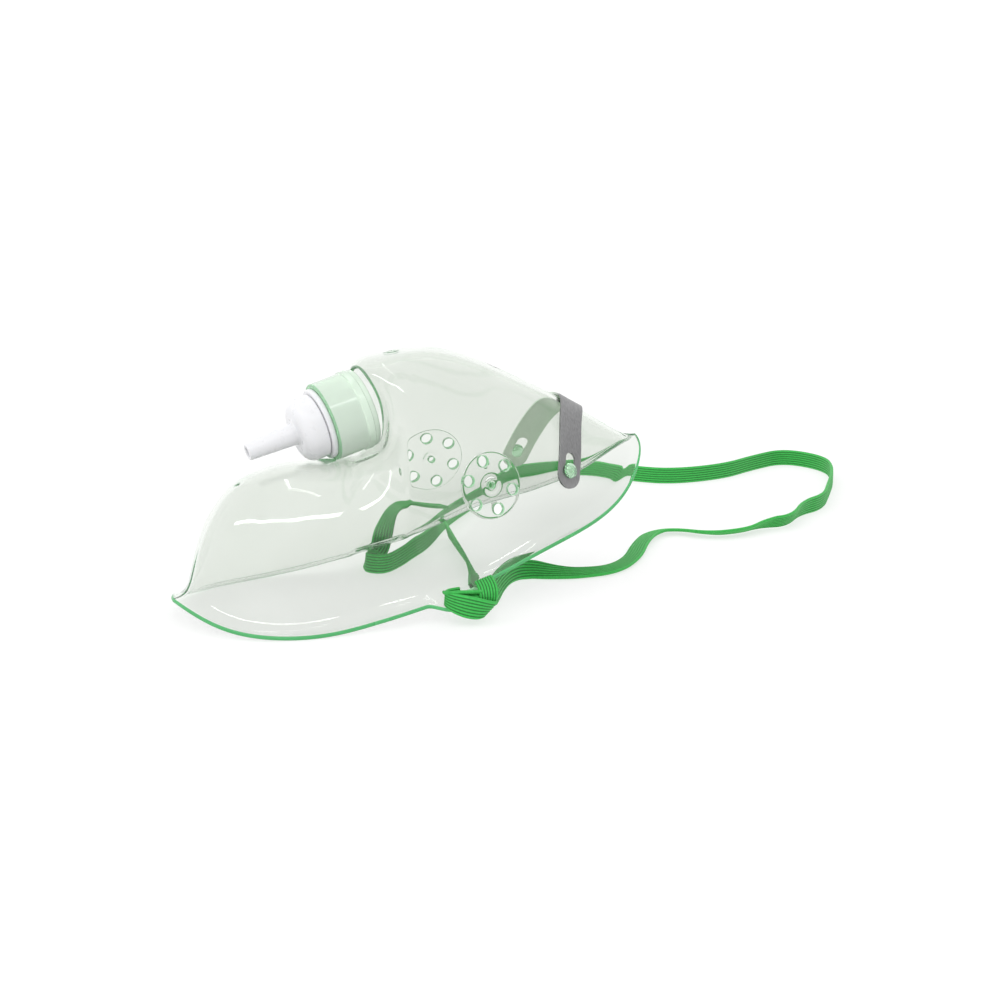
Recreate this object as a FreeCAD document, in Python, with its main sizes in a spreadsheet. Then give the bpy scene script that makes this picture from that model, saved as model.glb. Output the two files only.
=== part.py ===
import FreeCAD, Part
import Sketcher
import math
import os
from FreeCAD import Placement, Rotation, Vector

# Simple oxygen face mask, millimetres. It lies face-opening down: +X runs from the chin to the nose,
# +Z is up, the XZ plane is the plane of symmetry and z = 0 is the surface it rests on.

doc = FreeCAD.newDocument("oxygen_mask")

SIZES = {
    # soft shell
    "shell_wall": 1.2,
    "flange_width": 3.6,
    "flank_bulge": 0.055,
    # port, measured from the centre of its mouth along its axis
    "port_tilt_deg": 16.6,
    "port_mouth_x": -30.2,
    "port_mouth_z": 55.4,
    "collar_od": 24.0,
    "collar_bore": 20.4,
    "collar_depth": 13.4,
    "collar_step": 9.35,
    "collar_band_od": 24.7,
    "collar_band_foot": 1.6,
    "collar_band_ramp": 0.3,
    "mouth_round": 0.5,
    # white connector
    "sleeve_bore": 17.0,
    "sleeve_depth": 9.0,
    "sleeve_flange_od": 21.6,
    "sleeve_flange_thick": 1.6,
    "running_gap": 0.08,
    "axial_gap": 0.15,
    "dome_od": 19.4,
    "dome_top": 8.9,
    "dome_edge": 3.6,
    "dome_roof": 2.0,
    "dome_cone": 1.6,
    "spigot_inside": 14.0,
    "lip_od": 17.8,
    "lip_length": 1.4,
    "nipple_root_od": 6.7,
    "nipple_tip_od": 5.2,
    "nipple_end": 24.5,
    "nipple_bore": 3.2,
    "nipple_root_round": 0.9,
    "nipple_tip_round": 0.45,
    # vents in the cheeks
    "vent_disc_od": 20.6,
    "vent_disc_proud": 0.3,
    "vent_hole_od": 3.3,
    "vent_hole_circle": 15.3,
    "vent_boss_od": 4.7,
    "vent_boss_hole": 1.8,
    "vent_count": 6,
    # nose clip
    "clip_width": 8.6,
    "clip_thick": 0.7,
    "clip_gap": 0.3,
    "clip_hole_width": 3.6,
    "clip_hole_offset": 4.0,
    "stud_shank_od": 2.6,
    "stud_head_od": 4.8,
    "stud_head_thick": 1.1,
    "stud_head_gap": 0.15,
    "stud_inset": 1.2,
    # strap lugs
    "lug_length": 17.0,
    "lug_reach": 5.6,
    "lug_root": 3.4,
    "lug_thick": 1.3,
    "slot_length": 8.4,
    "slot_width": 2.6,
    "slot_offset": 2.6,
    # strap
    "strap_width": 6.5,
    "strap_thick": 1.2,
    "knot_length": 15.2,
    "knot_depth": 10.4,
    "knot_height": 9.6,
    "knot_along": 1.4,
    "knot_outward": 5.8,
    "knot_drop": 1.2,
    "soft_gap": 0.3,
}

# One row for each section of the shell, from the chin's tip to the nose's, on the +Y side:
# rim (x, y, z), shoulder (x, y, z) and crest (x, z). They are control points of a cubic surface.
SECTIONS = [
    ((-77.1, 0, 7.0), (-64.0, 0, 32.1), (-57.0, 39.2)),
    ((-76.6, 4.5, 6.8), (-64.0, 4.5, 32.1), (-57.0, 39.2)),
    ((-73.1, 15.3, 4.5), (-61.0, 11.0, 33.1), (-55.5, 39.8)),
    ((-66.0, 25.7, 2.1), (-55.5, 15.5, 34.6), (-52.0, 41.2)),
    ((-55.0, 32.8, 1.2), (-48.5, 17.5, 36.1), (-46.5, 42.8)),
    ((-41.5, 35.2, 1.2), (-39.5, 18.0, 38.4), (-38.0, 44.3)),
    ((-29.0, 34.2, 2.6), (-28.0, 17.8, 39.4), (-28.5, 43.4)),
    ((-20.5, 33.9, 3.9), (-17.5, 17.5, 41.1), (-15.5, 45.6)),
    ((-15.5, 33.7, 4.8), (-13.0, 17.3, 50.6), (-13.7, 48.1)),
    ((-10.5, 33.3, 5.6), (-13.5, 17.0, 63.6), (-20.8, 68.1)),
    ((-4.5, 32.6, 6.6), (-10.5, 15.6, 71.1), (-19.0, 73.5)),
    ((3.5, 31.6, 8.4), (-2.5, 14.6, 72.1), (-6.5, 75.9)),
    ((11.5, 30.6, 11.0), (6.5, 14.0, 71.1), (6.0, 76.8)),
    ((20.5, 30.2, 14.4), (17.5, 13.2, 66.6), (17.5, 73.1)),
    ((32.5, 29.8, 18.8), (30.5, 11.2, 60.4), (32.5, 66.0)),
    ((44.5, 26.6, 21.7), (43.5, 9.4, 54.8), (44.5, 60.2)),
    ((56.5, 21.6, 25.2), (56.0, 8.0, 49.2), (56.5, 53.6)),
    ((68.5, 15.0, 32.0), (67.0, 5.8, 44.4), (67.5, 46.7)),
    ((76.7, 6.0, 42.1), (73.0, 2.6, 43.7), (72.0, 44.5)),
    ((77.1, 0, 43.8), (73.3, 0, 44.2), (72.0, 44.5)),
]

VENT_AT = Vector(14.2, 20.5, 36.3)
CLIP_TOP = Vector(52.5, 0, 56.4)
CLIP_TIP = Vector(43.2, 20.3, 37.0)
LUG_AT = Vector(-1.2, 32.1, 6.9)
LUG_ALONG = Vector(0.965, -0.110, 0.237)
SLOT_SHIFT = 2.5

# The strap's routes: corners that straight runs and tangent arcs follow.
LOOP_ROUTE = [
    (8.5, -36.0, 6.8), (13.0, -29.0, 5.8), (20.0, -18.0, 5.2), (29.0, -6.6, 4.3), (36.5, -2.2, 3.6),
    (43.5, -6.0, 3.4), (52.0, -8.2, 3.4), (65.0, -8.5, 3.4), (79.0, 2.9, 3.4), (90.3, 17.1, 3.4),
    (102.4, 29.7, 3.4), (112.5, 30.7, 3.4), (119.7, 17.6, 3.4), (132.5, 16.1, 3.4), (142.8, 20.1, 3.4),
    (152.9, 17.8, 3.4), (168.0, 32.0, 3.4), (182.0, 37.0, 3.4), (197.0, 54.0, 3.4), (216.0, 76.0, 3.4),
    (228.0, 97.0, 3.4), (222.0, 119.0, 3.4), (201.0, 112.0, 3.4), (180.0, 102.0, 3.4),
    (155.0, 102.0, 3.4), (143.0, 115.0, 3.4), (136.0, 133.0, 3.4), (117.0, 142.0, 3.4),
    (99.0, 137.0, 3.4), (82.0, 118.5, 3.4), (63.0, 96.0, 3.4), (41.5, 73.5, 3.4), (24.5, 48.5, 3.4),
    (13.0, 35.8, 3.4), (3.8, 26.6, 3.4), (-4.4, 18.8, 3.4), (-11.6, 23.2, 3.4), (-6.2, 28.0, 3.4),
]
NEAR_TAIL_ROUTE = [
    (6.5, -28.0, 5.4), (11.5, -17.5, 3.9), (19.5, 1.5, 3.4), (25.5, 21.0, 3.4), (30.5, 40.0, 3.4),
    (35.5, 57.5, 3.4),
]
FAR_TAIL_ROUTE = [
    (2.2, 35.4, 9.2), (3.6, 36.4, 13.2), (6.8, 37.8, 18.0), (13.4, 39.6, 19.6), (20.0, 41.0, 17.0),
    (27.0, 42.0, 15.8),
]
FAR_TAIL_WIDTH_WAY = Vector(-0.25, 0.97, 0)
ARC_SHARE = 0.45


def make_sheet():
    sheet = doc.addObject("Spreadsheet::Sheet", "sizes")
    for row, (alias, value) in enumerate(SIZES.items(), start=1):
        sheet.set(f"A{row}", alias)
        sheet.set(f"B{row}", str(value))
        sheet.setAlias(f"B{row}", alias)
    doc.recompute()
    return sheet


sheet = make_sheet()


def size(alias):
    return float(getattr(sheet, alias))


def port_placement():
    tilt = math.radians(size("port_tilt_deg"))
    outward = Vector(-math.cos(tilt), 0, -math.sin(tilt))
    mouth = Vector(size("port_mouth_x"), 0, size("port_mouth_z"))
    return Placement(mouth, Rotation(Vector(0, 0, 1), outward))


def feature(label, shape):
    part = doc.addObject("Part::Feature", label)
    part.Shape = shape
    part.Label = label
    part.Placement = Placement()
    return part


# ---- turned pieces of the port -------------------------------------------------------------------

def turned_body(label, profile):
    """A body turned about its own Z axis; profile is a list of (radius, height) expressions."""
    body = doc.addObject("PartDesign::Body", label)
    body.Label = label
    plane = next(o for o in body.Origin.OriginFeatures if o.Role == "XZ_Plane")
    sketch = body.newObject("Sketcher::SketchObject", label + "_profile")
    sketch.AttachmentSupport = [(plane, "")]
    sketch.MapMode = "FlatFace"
    count = len(profile)
    rough = [Vector(10 + i, i, 0) for i in range(count)]
    for i in range(count):
        sketch.addGeometry(Part.LineSegment(rough[i], rough[(i + 1) % count]), False)
    for i in range(count):
        sketch.addConstraint(Sketcher.Constraint("Coincident", (i - 1) % count, 2, i, 1))
    for i, (radius, height) in enumerate(profile):
        for kind, expression in (("DistanceX", radius), ("DistanceY", height)):
            number = sketch.addConstraint(Sketcher.Constraint(kind, -1, 1, i, 1, 1.0))
            sketch.setExpression(f"Constraints[{number}]", expression)
    doc.recompute()
    turn = body.newObject("PartDesign::Revolution", label + "_turn")
    turn.Profile = sketch
    turn.ReferenceAxis = (sketch, ["V_Axis"])
    turn.Angle = 360
    doc.recompute()
    return body


def round_edge(body, radius, height, fillet):
    """Fillets the circular edge of that radius at that height."""
    last = body.Tip
    for number, edge in enumerate(last.Shape.Edges, start=1):
        curve = edge.Curve
        if not isinstance(curve, Part.Circle):
            continue
        if abs(curve.Radius - radius) < 1e-3 and abs(curve.Center.z - height) < 1e-3:
            rounded = body.newObject("PartDesign::Fillet", body.Name + "_round")
            rounded.Base = (last, [f"Edge{number}"])
            rounded.setExpression("Radius", fillet)
            doc.recompute()
            return
    raise ValueError(f"{body.Label} has no edge of radius {radius} at {height}")


def port_collar():
    body = turned_body("port_collar", [
        ("sizes.collar_bore / 2", "-sizes.collar_depth"),
        ("sizes.collar_od / 2", "-sizes.collar_depth"),
        ("sizes.collar_od / 2", "-sizes.collar_depth + sizes.collar_band_foot"),
        ("sizes.collar_band_od / 2", "-sizes.collar_depth + sizes.collar_band_foot + sizes.collar_band_ramp"),
        ("sizes.collar_band_od / 2", "-sizes.collar_step - sizes.collar_band_ramp"),
        ("sizes.collar_od / 2", "-sizes.collar_step"),
        ("sizes.collar_od / 2", "0"),
        ("sizes.collar_bore / 2", "0"),
    ])
    round_edge(body, size("collar_od") / 2, 0, "sizes.mouth_round")
    return body


def connector_sleeve():
    flange, top = size("sleeve_flange_od") / 2, size("sleeve_flange_thick")
    body = turned_body("connector_sleeve", [
        ("sizes.sleeve_bore / 2", "-sizes.sleeve_depth"),
        ("sizes.collar_bore / 2", "-sizes.sleeve_depth"),
        ("sizes.collar_bore / 2", "0"),
        ("sizes.sleeve_flange_od / 2", "0"),
        ("sizes.sleeve_flange_od / 2", "sizes.sleeve_flange_thick"),
        ("sizes.sleeve_bore / 2", "sizes.sleeve_flange_thick"),
    ])
    round_edge(body, flange, top, "sizes.mouth_round")
    return body


def swivel_connector():
    shoulder = "sizes.sleeve_flange_thick + sizes.axial_gap"
    lip_top = "-sizes.sleeve_depth - sizes.axial_gap"
    lip_bottom = lip_top + " - sizes.lip_length"
    spigot = "sizes.sleeve_bore / 2 - sizes.running_gap"
    body = turned_body("swivel_connector", [
        ("sizes.spigot_inside / 2", lip_bottom),
        ("sizes.lip_od / 2", lip_bottom),
        ("sizes.lip_od / 2", lip_top),
        (spigot, lip_top),
        (spigot, shoulder),
        ("sizes.dome_od / 2", shoulder),
        ("sizes.dome_od / 2", "sizes.dome_top"),
        ("sizes.nipple_root_od / 2", "sizes.dome_top"),
        ("sizes.nipple_tip_od / 2", "sizes.nipple_end"),
        ("sizes.nipple_bore / 2", "sizes.nipple_end"),
        ("sizes.nipple_bore / 2", "sizes.dome_top - sizes.dome_roof"),
        ("sizes.spigot_inside / 2", "sizes.dome_top - sizes.dome_roof - sizes.dome_cone"),
    ])
    round_edge(body, size("dome_od") / 2, size("dome_top"), "sizes.dome_edge")
    round_edge(body, size("nipple_root_od") / 2, size("dome_top"), "sizes.nipple_root_round")
    round_edge(body, size("nipple_tip_od") / 2, size("nipple_end"), "sizes.nipple_tip_round")
    return body


# ---- soft shell ----------------------------------------------------------------------------------

def lerp(a, b, share):
    return a + (b - a) * share


def shell_net():
    """Control points of the +Y half's outer surface: one row of seven for each section."""
    rows = []
    last = len(SECTIONS) - 1
    for number, (rim, shoulder, crest) in enumerate(SECTIONS):
        rim, shoulder, crest = Vector(*rim), Vector(*shoulder), Vector(crest[0], 0, crest[1])
        if number == 0:
            along = Vector(0, 1, 0)
        elif number == last:
            along = Vector(0, -1, 0)
        else:
            along = Vector(*SECTIONS[number + 1][0]) - Vector(*SECTIONS[number - 1][0])
            along.z = 0
            along.normalize()
        inward = Vector(along.y, -along.x, 0)
        rise = shoulder.z - rim.z
        lift = min(1.0, rise / 30)
        root = rim + inward * (size("flange_width") * (0.45 + 0.55 * lift)) + Vector(0, 0, 0.5 * lift)
        reach = shoulder - root
        low = root + inward * lift + Vector(0.12 * reach.x, 0.12 * reach.y, 0.17 * reach.z)
        middle = lerp(root, shoulder, 0.6) - inward * (rise * size("flank_bulge"))
        beside = crest + Vector(0, 0.55 * shoulder.y, 0)
        rows.append([rim, root, low, middle, shoulder, beside, crest])
    return rows


def cubic_surface(net):
    def knots(count):
        spans = count - 3
        return [i / spans for i in range(spans + 1)], [4] + [1] * (spans - 1) + [4]
    across, across_times = knots(len(net))
    up, up_times = knots(len(net[0]))
    surface = Part.BSplineSurface()
    surface.buildFromPolesMultsKnots(net, across_times, up_times, across, up, False, False, 3, 3)
    return surface


def greville(count, number):
    """Where on a clamped cubic with that many control points one of them pulls most."""
    spans = count - 3
    around = [min(max(number + k - 3, 0), spans) / spans for k in (1, 2, 3)]
    return min(max(sum(around) / 3, 0.004), 0.996)


def inner_net(net, outer, wall):
    """The same net moved in by the wall. Its ends and crest stay in the plane of symmetry.

    The surface's own normal points into the mask."""
    moved = []
    for i, row in enumerate(net):
        new_row = []
        for j, point in enumerate(row):
            normal = outer.normal(greville(len(net), i), greville(len(row), j))
            if i in (0, len(net) - 1) or j == len(row) - 1:
                normal.y = 0
                normal.normalize()
            new_row.append(point + normal * wall)
        moved.append(new_row)
    return moved


def mirrored(shape):
    return shape.mirror(Vector(0, 0, 0), Vector(0, 1, 0))


def rim_face(outer, inner):
    curves = [s.vIso(0).toShape() for s in (outer, inner)]
    return Part.makeRuledSurface(*curves)


def shell_blank(outer, inner):
    half = [outer.toShape(), inner.toShape(), rim_face(outer, inner)]
    whole = Part.makeCompound(half + [mirrored(face) for face in half])
    whole.sewShape()
    return Part.makeSolid(Part.makeShell(whole.Faces))


NET = shell_net()
OUTER = cubic_surface(NET)


def on_shell(near):
    """The point of the outer surface nearest to one on the +Y side, and its outward normal."""
    across, up = OUTER.parameter(near)
    normal = OUTER.normal(across, up)
    if normal.y < 0:
        normal = normal * -1
    return OUTER.value(across, up), normal


def both_sides(shapes):
    return shapes + [mirrored(s) for s in shapes]


def vent_tools():
    """What is added to a cheek for its vent disc, and what is cut from it."""
    centre, normal = on_shell(VENT_AT)
    proud, deep = size("vent_disc_proud"), size("shell_wall")
    across = normal.cross(Vector(0, 0, 1)).normalize()
    disc = Part.makeCylinder(size("vent_disc_od") / 2, proud + deep, centre - normal * deep, normal)
    boss = Part.makeCylinder(size("vent_boss_od") / 2, 2 * proud + deep, centre - normal * deep, normal)
    start = centre - normal * 4
    cuts = [Part.makeCylinder(size("vent_boss_hole") / 2, 8, start, normal)]
    count = int(size("vent_count"))
    for number in range(count):
        turn = Rotation(normal, 360 / count * (number + 0.25))
        at = start + turn.multVec(across) * (size("vent_hole_circle") / 2)
        cuts.append(Part.makeCylinder(size("vent_hole_od") / 2, 8, at, normal))
    return [disc, boss], cuts


def lug_frame():
    along = Vector(LUG_ALONG).normalize()
    up = Vector(0, 0, 1)
    outward = up.cross(along).normalize()
    return along, outward, along.cross(outward)


def rounded_bar(length, width, thick, centre, along, outward, up):
    """A flat bar with round ends, its length along one direction."""
    half = length / 2 - width / 2
    bar = Part.makeBox(2 * half, width, thick)
    bar.translate(Vector(-half, -width / 2, -thick / 2))
    for side in (-1, 1):
        bar = bar.fuse(Part.makeCylinder(width / 2, thick, Vector(side * half, 0, -thick / 2)))
    matrix = FreeCAD.Matrix(along.x, outward.x, up.x, centre.x,
                            along.y, outward.y, up.y, centre.y,
                            along.z, outward.z, up.z, centre.z,
                            0, 0, 0, 1)
    return bar.transformGeometry(matrix)


def lug_tools():
    """The lug on the +Y side and the slot through it."""
    along, outward, up = lug_frame()
    reach, root = size("lug_reach"), size("lug_root")
    middle = LUG_AT + outward * ((reach - root) / 2)
    length, width, thick = size("lug_length"), reach + root, size("lug_thick")
    tab = rounded_bar(length, width, thick, middle, along, outward, up)
    at = LUG_AT + along * SLOT_SHIFT + outward * size("slot_offset")
    slot = rounded_bar(size("slot_length"), size("slot_width"), 8, at, along, outward, up)
    return tab, slot


def port_hole():
    """What the collar takes out of the shell."""
    foot, upward = -size("collar_depth"), Vector(0, 0, 1)
    hole = Part.makeCylinder(size("collar_od") / 2, size("collar_depth") + 1, Vector(0, 0, foot), upward)
    foot += size("collar_band_foot")
    groove = Part.makeCylinder(size("collar_band_od") / 2, -size("collar_step") - foot,
                               Vector(0, 0, foot), upward)
    hole = hole.fuse(groove)
    hole.Placement = port_placement()
    return hole


def mask_shell():
    inner = cubic_surface(inner_net(NET, OUTER, size("shell_wall")))
    blank = shell_blank(OUTER, inner)
    added, cuts = vent_tools()
    tab, slot = lug_tools()
    shape = blank.fuse(both_sides([tab] + added))
    shape = shape.cut(both_sides(cuts + [slot]) + [port_hole()])
    solids = sorted(shape.Solids, key=lambda s: s.Volume)
    return feature("mask_shell", solids[-1])


# ---- nose clip -----------------------------------------------------------------------------------

def clip_path(share):
    """Point and normal on the shell under the clip, from the crest (0) to its +Y end's centre (1)."""
    top, tip = OUTER.parameter(CLIP_TOP), OUTER.parameter(CLIP_TIP)
    across, up = lerp(top[0], tip[0], share), lerp(0.998, tip[1], share)
    point, normal = OUTER.value(across, up), OUTER.normal(across, up)
    if normal.z < 0:
        normal = normal * -1
    if share == 0:
        point.y, normal.y = 0, 0
        normal.normalize()
    return point, normal


def clip_frame(share):
    point, normal = clip_path(share)
    step = 0.02
    ahead = (clip_path(share + step)[0] - clip_path(max(share - step, 0.001))[0]).normalize()
    if share == 0:
        ahead = Vector(0, 1, 0)
    wide = ahead.cross(normal).normalize()
    return point, normal, ahead, wide


def clip_section(share, side):
    point, normal, ahead, wide = clip_frame(share)
    low, high = size("clip_gap"), size("clip_gap") + size("clip_thick")
    half = size("clip_width") / 2
    corners = [point + normal * level + wide * (half * way)
               for level, way in ((low, -1), (low, 1), (high, 1), (high, -1))]
    corners = [Vector(c.x, c.y * side, c.z) for c in corners]
    return Part.makePolygon(corners + corners[:1])


def nose_clip():
    shares = [i / 8 for i in range(9)]
    wires = [clip_section(s, -1) for s in reversed(shares[1:])] + [clip_section(s, 1) for s in shares]
    strip = Part.makeLoft(wires, True, False)
    point, normal, ahead, wide = clip_frame(1.0)
    end = Part.makeCylinder(size("clip_width") / 2, size("clip_thick"),
                            point + normal * size("clip_gap"), normal)
    hole_at = point - ahead * (size("stud_inset") + size("clip_hole_offset") / 2)
    hole = rounded_bar(size("clip_hole_offset") + size("clip_hole_width"), size("clip_hole_width"), 6,
                       hole_at, ahead, wide, ahead.cross(wide))
    shape = strip.fuse(both_sides([end])).cut(both_sides([hole]))
    return feature("nose_clip", shape.removeSplitter())


def clip_studs():
    point, normal, ahead, wide = clip_frame(1.0)
    foot = point - ahead * size("stud_inset")
    level = size("clip_gap") + size("clip_thick") + size("stud_head_gap")
    shank = Part.makeCylinder(size("stud_shank_od") / 2, level, foot, normal)
    head = Part.makeCylinder(size("stud_head_od") / 2, size("stud_head_thick"),
                             foot + normal * level, normal)
    stud = shank.fuse(head)
    return feature("clip_studs", Part.makeCompound(both_sides([stud])))


# ---- elastic strap -------------------------------------------------------------------------------

def strap_path(route, label):
    """Straight runs joined by tangent arcs, as large as the runs allow; prints the radii."""
    points = [Vector(*p) for p in route]
    edges, radii, at = [], [], points[0]
    for before, corner, after in zip(points, points[1:], points[2:]):
        back, on = (before - corner), (after - corner)
        cut = ARC_SHARE * min(back.Length, on.Length)
        turn = math.pi - back.getAngle(on)
        start = corner + Vector(back).normalize() * cut
        end = corner + Vector(on).normalize() * cut
        radius = cut / math.tan(turn / 2)
        radii.append(round(radius, 1))
        middle = Vector(back).normalize() + Vector(on).normalize()
        to_centre = math.hypot(radius, cut)
        through = corner + middle.normalize() * (to_centre - radius)
        edges += [Part.LineSegment(at, start).toShape(), Part.Arc(start, through, end).toShape()]
        at = end
    edges.append(Part.LineSegment(at, points[-1]).toShape())
    wire = Part.Wire(edges)
    print(label, "length", round(wire.Length, 1), "radii", radii)
    return wire


def band(label, route, width_way):
    """A flat band swept along a route, with its width held along one direction."""
    path = strap_path(route, label)
    start, ahead = Vector(*route[0]), (Vector(*route[1]) - Vector(*route[0])).normalize()
    thin = ahead.cross(width_way).normalize()
    wide = thin.cross(ahead).normalize()
    half_wide, half_thin = size("strap_width") / 2, size("strap_thick") / 2
    corners = [start + wide * (half_wide * a) + thin * (half_thin * b)
               for a, b in ((-1, -1), (1, -1), (1, 1), (-1, 1))]
    sweep = Part.BRepOffsetAPI.MakePipeShell(path)
    sweep.setBiNormalMode(width_way)
    sweep.add(Part.makePolygon(corners + corners[:1]))
    sweep.build()
    sweep.makeSolid()
    shape = sweep.shape()
    if shape.Volume < 0:
        shape.reverse()
    expected = size("strap_width") * size("strap_thick") * path.Length
    print(label, "volume / (section x length)", round(shape.Volume / expected, 3))
    return feature(label, shape)


def strap_knot():
    """The knot round the -Y lug, as one rounded lump that the lug passes through."""
    along, outward, up = lug_frame()
    centre = LUG_AT + along * size("knot_along") + outward * size("knot_outward")
    centre.z -= size("knot_drop")
    lump = Part.makeSphere(1)
    matrix = FreeCAD.Matrix()
    matrix.scale(size("knot_length") / 2, size("knot_depth") / 2, size("knot_height") / 2)
    lump = lump.transformGeometry(matrix)
    lump.translate(Vector(centre.x, centre.y, max(centre.z, size("knot_height") / 2)))
    gap = size("soft_gap")
    length, width = size("lug_length") + 2 * gap, size("lug_reach") + size("lug_root") + 2 * gap
    middle = LUG_AT + outward * ((size("lug_reach") - size("lug_root")) / 2)
    thick = size("lug_thick") + 2 * gap
    room = rounded_bar(length, width, thick, middle, along, outward, up)
    return feature("strap_knot", mirrored(lump.cut(room)))


# ---- build, check, write -------------------------------------------------------------------------

def build():
    parts = [mask_shell(), port_collar(), connector_sleeve(), swivel_connector(), nose_clip(),
             clip_studs(), strap_knot()]
    for part in parts[1:4]:
        part.Placement = port_placement()
    upright = Vector(0, 0, 1)
    parts.append(band("strap_loop", LOOP_ROUTE, upright))
    parts.append(band("strap_tail_near", NEAR_TAIL_ROUTE, upright))
    parts.append(band("strap_tail_far", FAR_TAIL_ROUTE, FAR_TAIL_WIDTH_WAY))
    return parts


def check(parts):
    doc.recompute()
    for item in doc.Objects:
        if "Invalid" in item.State or "Error" in item.State:
            raise RuntimeError(f"{item.Label} failed: {item.State}")
    for part in parts:
        if part.Shape.isNull() or not part.Shape.isValid():
            raise RuntimeError(f"{part.Label} has a bad shape")
        box = part.Shape.BoundBox
        print(f"{part.Label}: {len(part.Shape.Solids)} solid(s), {part.Shape.Volume:.0f} mm3, "
              f"x {box.XMin:.1f}..{box.XMax:.1f} y {box.YMin:.1f}..{box.YMax:.1f} "
              f"z {box.ZMin:.1f}..{box.ZMax:.1f}")


def write(parts):
    os.makedirs("parts", exist_ok=True)
    for part in parts:
        part.Shape.exportStep(os.path.join("parts", part.Label + ".step"))


PARTS = build()
check(PARTS)
write(PARTS)
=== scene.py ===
import math

import bmesh
import bpy
import numpy as np
from mathutils import Matrix, Vector
from mathutils.bvhtree import BVHTree


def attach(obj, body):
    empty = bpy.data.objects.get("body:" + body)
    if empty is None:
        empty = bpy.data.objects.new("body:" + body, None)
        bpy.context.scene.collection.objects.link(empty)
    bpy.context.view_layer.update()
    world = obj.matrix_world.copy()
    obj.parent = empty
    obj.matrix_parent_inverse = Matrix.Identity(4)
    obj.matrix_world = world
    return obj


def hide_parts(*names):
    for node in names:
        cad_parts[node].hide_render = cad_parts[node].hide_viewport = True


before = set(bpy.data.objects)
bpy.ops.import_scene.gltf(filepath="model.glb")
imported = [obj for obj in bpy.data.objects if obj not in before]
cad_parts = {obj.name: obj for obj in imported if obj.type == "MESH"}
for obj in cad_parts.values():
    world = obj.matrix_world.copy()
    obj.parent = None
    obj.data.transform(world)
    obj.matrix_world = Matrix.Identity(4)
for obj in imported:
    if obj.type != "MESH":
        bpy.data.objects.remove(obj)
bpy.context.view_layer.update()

# A simple oxygen face mask, lying face-opening down on a white surface. Sizes are in millimetres, as in
# the CAD, and turn into metres where a mesh or curve is made.
MM = 0.001
scene = bpy.context.scene

# ---- camera --------------------------------------------------------------------------------------

CAMERA_AT = (-0.19332, -0.45860, 0.13915)
CAMERA_DOWN_DEG = 12.5
CAMERA_TURN_DEG = 25.8
CAMERA_LENS = 59.44


def make_camera():
    data = bpy.data.cameras.new("camera")
    data.lens = CAMERA_LENS
    data.clip_start, data.clip_end = 0.01, 50
    camera = bpy.data.objects.new("camera", data)
    camera.location = CAMERA_AT
    camera.rotation_euler = (math.radians(90 - CAMERA_DOWN_DEG), 0, math.radians(-CAMERA_TURN_DEG))
    scene.collection.objects.link(camera)
    scene.camera = camera


make_camera()

# ---- mesh helpers --------------------------------------------------------------------------------


def mesh_object(name, points, faces, smooth=True):
    """A mesh object from points in millimetres."""
    data = bpy.data.meshes.new(name)
    data.from_pydata([tuple(p * MM) for p in np.asarray(points, float)], [], faces)
    data.validate()
    data.polygons.foreach_set("use_smooth", [smooth] * len(data.polygons))
    data.update()
    obj = bpy.data.objects.new(name, data)
    scene.collection.objects.link(obj)
    return obj


def ring_faces(rows, columns, closed_rows=False, closed_columns=True):
    """Quads between the points of a grid stored row by row."""
    faces = []
    for i in range(rows if closed_rows else rows - 1):
        for j in range(columns if closed_columns else columns - 1):
            a, b = (i + 1) % rows, (j + 1) % columns
            faces.append((i * columns + j, a * columns + j, a * columns + b, i * columns + b))
    return faces


def unit(v):
    v = np.asarray(v, float)
    return v / np.linalg.norm(v, axis=-1, keepdims=True)


def rounded(corners, radii, steps=5):
    """A closed polygon with its corners turned into arcs of those radii."""
    corners = [np.asarray(c, float) for c in corners]
    found = []
    for i, (corner, radius) in enumerate(zip(corners, radii)):
        back, on = unit(corners[i - 1] - corner), unit(corners[(i + 1) % len(corners)] - corner)
        if radius == 0:
            found.append(corner)
            continue
        half = math.acos(np.clip(np.dot(back, on), -1, 1)) / 2
        cut = radius / math.tan(half)
        start, end = corner + back * cut, corner + on * cut
        centre = corner + unit(back + on) * (radius / math.sin(half))
        a, b = start - centre, end - centre
        sweep = math.pi - 2 * half
        for k in range(steps + 1):
            t = k / steps * sweep
            found.append(centre + (a * math.sin(sweep - t) + b * math.sin(t)) / math.sin(sweep))
    return found


def lathe(name, profile, origin, axis, segments=128):
    """Turns a closed outline of (radius, height) about an axis."""
    axis = unit(axis)
    side = unit(np.cross(axis, (0, 1, 0.01)))
    other = np.cross(axis, side)
    angles = np.linspace(0, 2 * math.pi, segments, endpoint=False)
    spokes = np.cos(angles)[:, None] * side + np.sin(angles)[:, None] * other
    points = [origin + axis * h + spokes * r for r, h in profile]
    faces = ring_faces(len(profile), segments, closed_rows=True)
    obj = mesh_object(name, np.concatenate(points), [f[::-1] for f in faces])
    return tidy(obj)


def tidy(obj, sharp_deg=38):
    """Merges doubled points, makes the normals point out and marks the sharp edges."""
    mesh = bmesh.new()
    mesh.from_mesh(obj.data)
    bmesh.ops.remove_doubles(mesh, verts=mesh.verts, dist=1e-6)
    bmesh.ops.recalc_face_normals(mesh, faces=mesh.faces)
    mesh.to_mesh(obj.data)
    mesh.free()
    obj.data.set_sharp_from_angle(angle=math.radians(sharp_deg))
    return obj


def join(name, objects):
    """One object of several, with their materials in order."""
    with bpy.context.temp_override(active_object=objects[0], selected_editable_objects=objects):
        bpy.ops.object.join()
    objects[0].name = objects[0].data.name = name
    return objects[0]


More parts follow.
